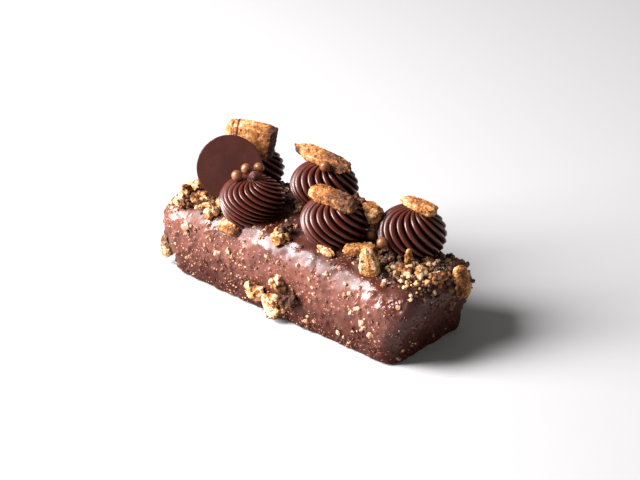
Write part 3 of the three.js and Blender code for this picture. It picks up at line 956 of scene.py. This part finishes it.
for seed, (name, sizes) in enumerate(ROSETTES.items()):
    points = piped(*sizes, seed)
    if name in PRESSED_BY:
        press_under(points, PRESSED_BY[name])
    levels = len(points) // len(SHARE)
    mesh = mesh_from(f"piped_{name}", points, skin(levels, len(SHARE)))
    # how much painted shade each point of a valley gets
    dark = np.clip((RIDGE_VALLEY - VALLEY_FROM) / VALLEY_REACH, 0, 1)
    on_the_body = np.arange(levels) < levels - TIP_LEVELS
    mark(mesh, "valley", np.outer(on_the_body, dark).ravel())
    add_piece(f"piped_{name}", mesh, cream, [f"rosette_{name}"])

# %% [markdown]
# ## Broken cookies and chips
# A broken cookie is a crust of angular grains, a millimetre or two across, with dark gaps
# between them that are partly deep and partly painted shade. Each CAD solid is copied and
# grains are set into its skin; a voxel remesh then makes one skin of it all, and noise adds
# the finest crumb. Sculpting by hand would do it too, but this way every cookie comes from
# the same few numbers.


# %% Grains set in a skin
SIDE_SHARES = (0.65, 1.25)  # the shortest and the longest side of a bit


def unit_ball(fineness):
    """The points and three-sided faces of a ball of radius 1."""
    work = bmesh.new()
    bmesh.ops.create_icosphere(work, subdivisions=fineness, radius=1)
    points = np.array([vertex.co[:] for vertex in work.verts])
    faces = np.array([[vertex.index for vertex in face.verts] for face in work.faces])
    work.free()
    return points, faces


def skin_places(mesh, a_square_centimetre, draw):
    """Places spread evenly over a mesh, and the way its skin faces there."""
    mesh.calc_loop_triangles()
    corner = np.array([triangle.vertices for triangle in mesh.loop_triangles])
    points = read_points(mesh) / MM
    first, second, third = (points[corner[:, k]] for k in range(3))
    across = np.cross(second - first, third - first)
    twice_area = np.linalg.norm(across, axis=1)
    count = int(a_square_centimetre * twice_area.sum() / 200)
    chosen = draw.choice(len(corner), count, p=twice_area / twice_area.sum())
    u, v = draw.random((2, count, 1))
    u, v = np.where(u + v > 1, 1 - u, u), np.where(u + v > 1, 1 - v, v)
    places = first[chosen] + u * (second - first)[chosen] + v * (third - first)[chosen]
    return places, across[chosen] / twice_area[chosen][:, None]


def chopped(ball, draw, jag):
    """A ball made uneven and turned at random, as a chopped bit is."""
    quarter, _ = np.linalg.qr(draw.normal(size=(3, 3)))
    sides = draw.uniform(*SIDE_SHARES, 3)
    return (ball * sides * draw.uniform(1 - jag, 1 + jag, (len(ball), 1))) @ quarter


def remeshed(points, faces, voxel):
    """One even skin round everything."""
    work = bpy.data.objects.new("work", bpy.data.meshes.new("work"))
    work.data.from_pydata((points * MM).tolist(), [], faces)
    scene.collection.objects.link(work)
    modifier = work.modifiers.new("even", "REMESH")
    modifier.mode = "VOXEL"
    modifier.voxel_size = voxel * MM
    graph = bpy.context.evaluated_depsgraph_get()
    mesh = bpy.data.meshes.new_from_object(work.evaluated_get(graph))
    bpy.data.objects.remove(work)
    return mesh


# %% Crumb relief
GRAIN_WIDTH, GRAIN_RISE = 1.1, 0.28
PORE_WIDTH, PORE_DEPTH, PORE_EDGE = 1.9, 0.95, 0.22
FINEST_WIDTH, FINEST_RISE = 0.6, 0.2


def crumb_lift(point):
    """How far a cookie's skin stands out at a point, in millimetres."""
    grain = 0.5 - noise.voronoi(point / GRAIN_WIDTH)[0][0]
    pore = max(0.0, noise.noise(point / PORE_WIDTH) - PORE_EDGE)
    finest = noise.noise(point / FINEST_WIDTH)
    return GRAIN_RISE * grain - PORE_DEPTH * pore + FINEST_RISE * finest


def hollowness(mesh, rounds):
    """How far each point lies below the average of what is round it, in millimetres."""
    points, normals = read_points(mesh) / MM, read_points(mesh, "normal")
    ends = np.zeros(len(mesh.edges) * 2, int)
    mesh.edges.foreach_get("vertices", ends)
    one, other = ends.reshape(-1, 2).T
    one, other = np.concatenate([one, other]), np.concatenate([other, one])
    neighbours = np.bincount(one, minlength=len(points))
    level = points.copy()
    for _ in range(rounds):
        sides = [np.bincount(one, weights=side, minlength=len(points)) for side in level[other].T]
        level = np.column_stack(sides) / neighbours[:, None]
    return ((level - points) * normals).sum(1)


# %% [markdown]
# Some cookies were dipped: on those the cocoa starts at a ragged line across the piece.
# The line is given by a direction and by where along it, from the piece's middle, the
# golden part ends and the cocoa is full. Tones are given in the same way: a direction, some
# places along it, and how much paler or darker the piece is at each. On the tall cookie a
# narrow dark line among them is painted shade where it cracked.

# %% Dipped and scorched parts, and a painted crack
SIDEWAYS = (0.746, 0.666, 0)  # to the right, as the camera sees it
RAGGED_REACH, RAGGED_WIDTH = 4, 2.6  # how far the cocoa's edge strays, and its width
DIPPED = {
    "cookie_back_middle": (SIDEWAYS, -1, 5, 0.8),
    "cookie_front_middle": (SIDEWAYS, -1, 2, 1),
    "cookie_front_middle_end": ((0.8, 0.5, -0.6), 1, 3, 0.9),
    "cookie_tall": ((0.85, 0.1, 0.3), 10, 14, 0.8),
    "cookie_left_end": ((0.4, -0.3, 0.8), 1.5, 3, 0.9),
    "cookie_low_right": ((1, 0, -0.5), 1.5, 3, 0.9),
    "cookie_nib_middle": ((0.6, 0.6, 0.6), 1.5, 3, 0.9),
}
# a narrow dark line of painted shade where the tall cookie cracked, then paler and darker bands
PAINTED_CRACK_AND_SCORCH = (
    (0.793, 0.586, -0.167),
    (-12.9, -12.3, -12.0, -11.4, -6, -1, 5, 6.5, 8, 10),
    (0.1, -0.6, -0.6, 0.3, 0.24, 0.05, 0, -0.3, -0.3, -0.05),
)
PALE_TOP = ((-0.317, 0.355, 0.88), (-12, -4, 3, 12, 15), (-0.3, -0.14, 0, 0.02, 0.18))
TONES = {
    "cookie_tall": [PAINTED_CRACK_AND_SCORCH, PALE_TOP],
    "cookie_edge": [((-0.3, 0.2, 1), (-3, -0.5, 1, 2.5), (0.1, 0, 0.1, 0.6))],
    "cookie_right_end": [(SIDEWAYS, (-3, -1.2, 1.2, 3), (0.25, -0.2, -0.25, 0.15))],
    "cookie_back_middle": [(SIDEWAYS, (-14.5, -13, -11.5, 0, 4), (-0.4, -0.4, 0.15, 0.1, -0.1))],
    "cookie_front_middle": [(SIDEWAYS, (-13, -11.5, -9), (0.35, 0.25, 0))],
    "cookie_back_right": [(SIDEWAYS, (-10, -6, 0, 9), (0.2, 0.1, 0, 0.1))],
}


def unit(heading):
    """The heading with a length of 1."""
    return np.array(Vector(heading).normalized())


def cocoa_share(points, name):
    """How much cocoa each point has, from 0 to 1."""
    if name not in DIPPED:
        return np.zeros(len(points))
    heading, start, full, most = DIPPED[name]
    along = (points - points.mean(0)) @ unit(heading)
    ragged = np.array([noise.noise(Vector(point) / RAGGED_WIDTH) for point in points])
    return np.clip((along + RAGGED_REACH * ragged - start) / (full - start), 0, 1) * most


def tone_and_painted_crack(points, name):
    """How much paler each point is than its cookie."""
    middle = np.array(sum(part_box(name), Vector())) / 2 / MM
    tone = np.zeros(len(points))
    for heading, stops, tones in TONES.get(name, []):
        tone += np.interp((points - middle) @ unit(heading), stops, tones)
    return tone


# %% [markdown]
# A sheet of cookie snapped off a tray is nearly flat, and a slab broke with flat faces, so
# their grains hardly stand out. The small bits are chunks and clusters: there the grains
# stand out by half, and the bit loses its outline. Each kind is one row of numbers.

# %% The kinds of cookie
Kind = namedtuple("Kind", "grain cover proud drawn_in jag voxel spread relief")
# In millimetres: the smallest and largest radius of the grains, how far the core is drawn
# in, and the voxel. Cover is the number of grains on a square centimetre, proud how far
# they stand out as a share of their radius, and spread how much their shades differ.
KINDS = {
    "sheet": Kind((0.4, 0.9), 16, 0.22, 0, 0.3, 0.36, 0.1, 0.75),
    "slab": Kind((0.45, 1.2), 26, 0.32, 0, 0.3, 0.35, 0.15, 1.15),
    "cluster": Kind((1.3, 3.0), 10, 0.45, 1.4, 0.36, 0.3, 0.24, 0.8),
    "chunk": Kind((1.7, 3.6), 8, 0.4, 1.2, 0.42, 0.31, 0.18, 0.6),
    "chip": Kind((1.0, 2.1), 18, 0.5, 1.2, 0.36, 0.3, 0.2, 0.9),
}
MADE_AS = {
    "sheet": "tall strip",
    "slab": "back_middle front_middle back_right front_middle_end block chunk_front edge"
    " right_end left_end shard sliver",
    "chunk": "low_middle low_left nib_middle nib_right left_back left_bit left_corner"
    " left_middle left_front left_inner",
    "cluster": "low_right nib_end right_block",
}
KIND_OF = {which: kind for kind, names in MADE_AS.items() for which in names.split()}
PALENESS = {
    0.2: "edge",
    0.34: "tall",
    0.35: "front_middle",
    0.44: "back_middle",
    0.47: "back_right",
    0.5: "block shard right_end",
    0.55: "front_middle_end right_block",
    0.72: "strip sliver",
    0.74: "chunk_front left_end nib_right",
    0.86: "low_middle",
}
PALENESS_OF = {which: pale for pale, names in PALENESS.items() for which in names.split()}
SMALL_BIT_PALENESS, CHIP_PALENESS = 0.76, 0.06
GAP_PAINTED_SHADE, GAP_FROM, GAP_REACH = 0.75, 0.95, 0.4  # painted shade between grains; the last two are shares of a grain's radius
DEEPEST, HIGHEST = -0.7, 0.3  # limits of the crumb relief
HOLLOW_ROUNDS, HOLLOW_GAIN = 12, 1.6  # how broad and how strong the mark for depth is


# %% Crumble the cookies
def grainy(source, kind, draw):
    """A remeshed copy of a solid with grains in its skin, their middles and their radii."""
    places, outward = skin_places(source, kind.cover, draw)
    low, high = kind.grain
    radii = low + (high - low) * draw.random(len(places)) ** 2
    centres = places + outward * (radii * (kind.proud - 1))[:, None]
    ball, ball_faces = unit_ball(1)
    points = [read_points(source) / MM - read_points(source, "normal") * kind.drawn_in]
    faces = [list(face.vertices) for face in source.polygons]
    used = len(points[0])
    for centre, radius in zip(centres, radii):
        points.append(chopped(ball, draw, kind.jag) * radius + centre)
        faces += (ball_faces + used).tolist()
        used += len(ball)
    return remeshed(np.vstack(points), faces, kind.voxel), centres, radii


def crumble(name, kind, paleness, seed):
    """A crumbly copy of a CAD solid, with its three marks."""
    draw = np.random.default_rng(seed)
    mesh, centres, radii = grainy(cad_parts[name].data, kind, draw)
    spots = read_points(mesh) / MM
    lifts = kind.relief * np.array([crumb_lift(Vector(spot)) for spot in spots])
    move_skin(mesh, np.clip(lifts, DEEPEST, HIGHEST))
    shade = paleness + kind.spread * draw.uniform(-1, 1, len(centres))
    grains = search_tree(centres)
    found = [grains.find(Vector(spot)) for spot in spots]
    nearest = np.array([index for _, index, _ in found])
    gap = np.array([distance for _, _, distance in found]) / radii[nearest]
    # painted shade in the gaps between grains, taken off the paleness
    between = np.clip((gap - GAP_FROM) / GAP_REACH, 0, 1) * (kind.drawn_in > 0)
    shown = shade[nearest] - GAP_PAINTED_SHADE * between + tone_and_painted_crack(spots, name)
    mark(mesh, "paleness", shown)
    hollow = hollowness(mesh, HOLLOW_ROUNDS)
    mark(mesh, "crumb_depth", np.clip(0.5 + HOLLOW_GAIN * hollow, 0, 1))
    mark(mesh, "cocoa", cocoa_share(spots, name))
    return mesh


for seed, name in enumerate(sorted(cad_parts)):
    what, _, which = name.partition("_")
    if what == "cookie":
        paleness = PALENESS_OF.get(which, SMALL_BIT_PALENESS)
        mesh = crumble(name, KINDS[KIND_OF[which]], paleness, seed)
        add_piece(f"crumbly_{which}", mesh, cookie_finish, [name])
    elif what == "chip":
        mesh = crumble(name, KINDS["chip"], CHIP_PALENESS, seed)
        add_piece(f"dark_bit_{which}", mesh, cookie_finish, [name])

# %% [markdown]
# ## The chocolate disc
# The disc is cast thin and cut with a ring, so its rim is a small soft edge. It is turned
# on a lathe profile about its own axis and then stood up where the CAD disc stands. A
# cylinder with a bevel would do as well, but its flat faces could carry no waves.

# %% Disc
DISC_RADIUS, DISC_THICKNESS, DISC_EDGE = 17.4, 2, 0.5
DISC_AT, DISC_FACING, DISC_LEAN = (-53.7, -6.6, 59.6), 41.7, 20
DISC_SIDES, DISC_RINGS, EDGE_STEPS = 144, 26, 6
DISC_WAVES = ((0.4, 13), (0.02, 2))  # height and width


def disc_profile():
    """(radius, height) from the middle of one face round the rim to the other."""
    half, flat = DISC_THICKNESS / 2, DISC_RADIUS - DISC_EDGE
    rows = [(flat * k / DISC_RINGS, -half) for k in range(DISC_RINGS)]
    for centre, first in ((-half + DISC_EDGE, -90), (half - DISC_EDGE, 0)):
        for k in range(EDGE_STEPS + 1):
            a = math.radians(first + 90 * k / EDGE_STEPS)
            rows.append((flat + DISC_EDGE * math.cos(a), centre + DISC_EDGE * math.sin(a)))
    rows += [(flat * k / DISC_RINGS, half) for k in reversed(range(DISC_RINGS))]
    return rows


def disc_mesh():
    """The disc standing on edge, a touch uneven as poured chocolate is."""
    a = 2 * math.pi * np.arange(DISC_SIDES) / DISC_SIDES
    profile = disc_profile()
    points = np.vstack([np.column_stack([r * np.cos(a), 0 * a - z, r * np.sin(a)]) for r, z in profile])
    points[:, 1] += [waves_at(Vector(point), DISC_WAVES) for point in points]
    points = turned(turned(points, -DISC_LEAN, 0), DISC_FACING, 2) + np.array(DISC_AT)
    mesh = mesh_from("cast_disc", points, skin(len(profile), DISC_SIDES))
    weld(mesh, 0.01)
    return mesh


add_piece("cast_disc", disc_mesh(), cast_chocolate, ["chocolate_disc"])

# %% [markdown]
# ## Pearls
# A crunchy pearl is a small ball of puffed grain under a tumbled shell. The shell is
# smooth but not true: it is a ball with a low, broad unevenness. The ball is built from
# triangles of one size, as a ball with poles would shine oddly where its lines meet.

# %% Pearls
PEARL_RADIUS, PEARL_FINENESS = 2.8, 5
PEARL_UNEVENNESS, PEARL_LUMPS = 0.02, 1.6  # as shares of the radius

for name in [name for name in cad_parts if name.startswith("pearl_")]:
    low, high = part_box(name)
    middle = np.array((low + high) / 2) / MM
    ball, faces = unit_ball(PEARL_FINENESS)
    lumps = np.array([noise.noise(Vector(spot) * PEARL_LUMPS + Vector(middle)) for spot in ball])
    points = ball * (1 + PEARL_UNEVENNESS * lumps)[:, None] * PEARL_RADIUS + middle
    shell = name.replace("pearl", "crunchy")
    add_piece(shell, mesh_from(shell, points, faces), pearl_finish, [name])

# %% [markdown]
# ## Chopped nuts and crumbs
# Each bit starts as a small ball whose points are pulled in and out at random and whose
# three sides differ, so that it looks chopped. All bits of a kind are joined into one mesh:
# Blender draws one mesh of thousands of bits far sooner than thousands of objects.


# %% Make bits
def add_bits(name, places, fineness, sunk, seed, finish, jag=0.28, smooth=False):
    """One piece of chopped bits, each sunk into the surface by a share of its radius."""
    ball, ball_faces = unit_ball(fineness)
    draw = np.random.default_rng(seed)
    points, faces = [], []
    for point, normal, radius in places:
        centre = np.array(point) + np.array(normal) * radius * (0.5 - sunk)
        faces.append(ball_faces + len(ball) * len(points))
        points.append(chopped(ball, draw, jag) * radius + centre)
    mesh = mesh_from(name, np.vstack(points), np.vstack(faces))
    add_piece(name, mesh, finish, smooth=smooth)


def heap(at, spread, count, sizes, seed, high=0.0):
    """Places in a small heap on the loaf's top, thickest in its middle."""
    draw = random.Random(seed)
    places = []
    for _ in range(count):
        x, y = (draw.gauss(middle, wide / 2) for middle, wide in zip(at, spread))
        radius = sizes[0] + (sizes[1] - sizes[0]) * draw.random() ** 1.5
        up = high * draw.random()
        hit, normal, _, _ = loaf_tree.ray_cast(Vector((x, y, FAR)) * MM, Vector((0, 0, -1)))
        if hit is not None:
            places.append((hit / MM + Vector((0, 0, up)), normal, radius))
    return places


# %% [markdown]
# The nuts were chopped with a knife, so most bits are fine and a few are coarse. They lie
# in clusters. The largest are set where the real cake shows them, each with smaller bits
# round it, and a little paler than the rest.

# %% Large nuts, one by one
FRONT_NUTS = [  # along the front, up it, and the radius, in millimetres
    (-63, 31, 2.0), (-62, 27.6, 1.9), (-40.2, 23.6, 1.7), (-31.5, 27.4, 1.7),
    (-29.3, 25.4, 1.4), (-12, 42.6, 1.5), (-22, 31.7, 1.2), (-4.4, 34.6, 1.3),
    (-9.7, 12.6, 1.6), (-9.2, 8.8, 1.5), (-46.5, 30.5, 1.3), (47.8, 31.6, 1.7),
    (51, 33.5, 1.3), (56.4, 28, 1.6), (59.1, 20.4, 1.6), (60, 17.4, 1.3),
    (64.5, 15, 1.5), (24.4, 19.7, 1.3), (52.5, 23.6, 1.2), (34.5, 38.2, 1.5),
    (80, 9, 1.2),
]
TOP_NUTS = [  # along the top, across it, and the radius
    (64.3, -19.3, 1.6), (65, -21.2, 1.3), (80.8, -19.7, 1.2),
    (39.9, -25.3, 1.3), (46.6, -29, 1.3),
]
NEARBY = 1.6  # how far round a nut its own bits lie, as a share of its radius


def large_nuts():
    """The large nuts, with seven small bits round each on the front."""
    places = []
    for seed, (x, y, radius) in enumerate(TOP_NUTS):
        places += strew("top", (x, x), (y, y), 1, (radius, radius), 80 + seed, clear=0)
    for seed, (x, z, radius) in enumerate(FRONT_NUTS):
        places += strew("front", (x, x), (z, z), 1, (radius, radius), seed, clear=0)
        near = NEARBY * radius
        beside, above = (x - near, x + near), (z - near, z + near)
        places += strew("front", beside, above, 7, (0.4, 0.8), 100 + seed)
    return places


add_bits("large_nuts", large_nuts(), 2, 0.3, 30, large_nut_finish)

# %% Chopped and fine nuts
chopped_nuts = (
    strew("front", (-82, 78), (2, 38), 190, (0.5, 1.3), 21, settle=1.2, crowding=0.8)
    + strew("back", (-82, 83), (2, 42), 300, (0.55, 1.5), 23, crowding=0.6)
    + strew("left", (-29, 29), (2, 38), 130, (0.5, 1.4), 25, crowding=0.6)
    + strew("right", (-29, 29), (2, 38), 16, (0.4, 1.1), 26, crowding=0.6)
    + strew("top", (-80, 80), (-27, 27), 240, (0.45, 1.1), 27, crowding=0.5)
)
fine_nuts = (
    strew("front", (-83, 80), (1, 37), 1020, (0.24, 0.58), 22, settle=1.7, crowding=0.88)
    + strew("back", (-83, 84), (1, 42), 1500, (0.22, 0.55), 24, settle=1.5, crowding=0.8)
    + strew("left", (-30, 30), (1, 40), 700, (0.22, 0.5), 28, settle=1.35, crowding=0.65)
    + strew("right", (-30, 30), (1, 38), 60, (0.2, 0.4), 29, settle=1.35, crowding=0.65)
)
add_bits("chopped_nuts", chopped_nuts, 2, 0.3, 31, nut_finish)
add_bits("fine_nuts", fine_nuts, 1, 0.2, 32, nut_finish)

# %% [markdown]
# Some nuts lie under the skin of the glaze and show only as small knobs of chocolate. They
# are made as the others are, but sit deeper, are rounder, and take the glaze's own finish.

# %% Glazed bits
glazed_bits = (
    strew("front", (-83, 84), (1, 34), 380, (0.4, 1.0), 61, crowding=0.7)
    + strew("back", (-83, 84), (1, 44), 480, (0.4, 1.1), 62, crowding=0.5)
    + strew("left", (-30, 30), (1, 40), 240, (0.4, 1.1), 63, crowding=0.5)
    + strew("right", (-30, 30), (1, 40), 200, (0.3, 0.8), 64, crowding=0.5)
    + strew("shoulder", (-80, 82), (-12, 12), 60, (0.4, 1.1), 65, crowding=0.5)
)
add_bits("glazed_bits", glazed_bits, 2, 0.55, 66, glaze, jag=0.16, smooth=True)

# %% [markdown]
# Crumbs fell where cookies were broken over the cake, so they lie in heaps: golden ones
# from the bake, dark ones from the cocoa. The large crumbs on the plain end are listed one
# by one, each with a few smaller ones round it.

# %% Crumbs
LARGE_CRUMBS = [  # along the top, across it, and the radius, in millimetres
    (65.3, -12.1, 2.0), (61.5, -9, 1.6), (65.7, -5.6, 1.8), (69.6, -9.4, 2.2),
    (73.3, -2.3, 2.9), (77, -10.2, 1.8), (80, -5.7, 1.9), (70, -14, 1.5),
    (73.8, 8.1, 2.2), (68, 1, 1.9), (73.5, 18.5, 1.8), (79, 4, 1.9), (74.6, -16.5, 1.3),
]
large_crumbs = []
for x, y, radius in LARGE_CRUMBS:
    large_crumbs += heap((x, y), (0.1, 0.1), 1, (radius, radius), 40, high=0.9)
for x, y, _ in LARGE_CRUMBS:
    large_crumbs += heap((x, y), (4, 4), 4, (0.5, 1.2), 39, high=1.2)
golden_crumbs = (
    heap((67, -9.5), (12, 6), 10, (0.7, 1.6), 41, high=0.8)
    + heap((75, 8), (9, 15), 24, (0.7, 1.9), 42, high=1.6)
    + heap((77, -8), (6, 8), 16, (0.6, 1.4), 43, high=0.6)
    + strew("top", (-80, 60), (-27, 27), 60, (0.5, 1.1), 44)
    + heap((-66, -19), (22, 9), 46, (0.6, 1.4), 45, high=0.8)
)
cocoa_crumbs = (
    heap((57, -7), (20, 9), 120, (0.7, 1.8), 46, high=1.3)
    + heap((75, 9), (12, 20), 150, (0.6, 2.0), 47, high=1.8)
    + heap((-12, 2), (14, 6), 60, (0.6, 1.5), 48, high=1.0)
    + heap((-38, 6), (18, 8), 60, (0.6, 1.5), 49, high=1.0)
    + heap((-60, -20), (26, 10), 40, (0.6, 1.4), 50, high=0.6)
    + strew("front", (-82, 80), (2, 38), 90, (0.3, 0.7), 53, crowding=0.7)
    + strew("top", (-80, 84), (-27, 28), 160, (0.4, 1.1), 54, crowding=0.5)
    + strew("right", (-22, 26), (20, 42), 90, (0.4, 1.2), 55, settle=0.6)
)
add_bits("large_crumbs", large_crumbs, 2, 0.1, 55, large_crumb_finish)
add_bits("golden_crumbs", golden_crumbs, 2, 0.1, 51, golden_finish)
add_bits("cocoa_crumbs", cocoa_crumbs, 2, 0.1, 52, dark_finish)
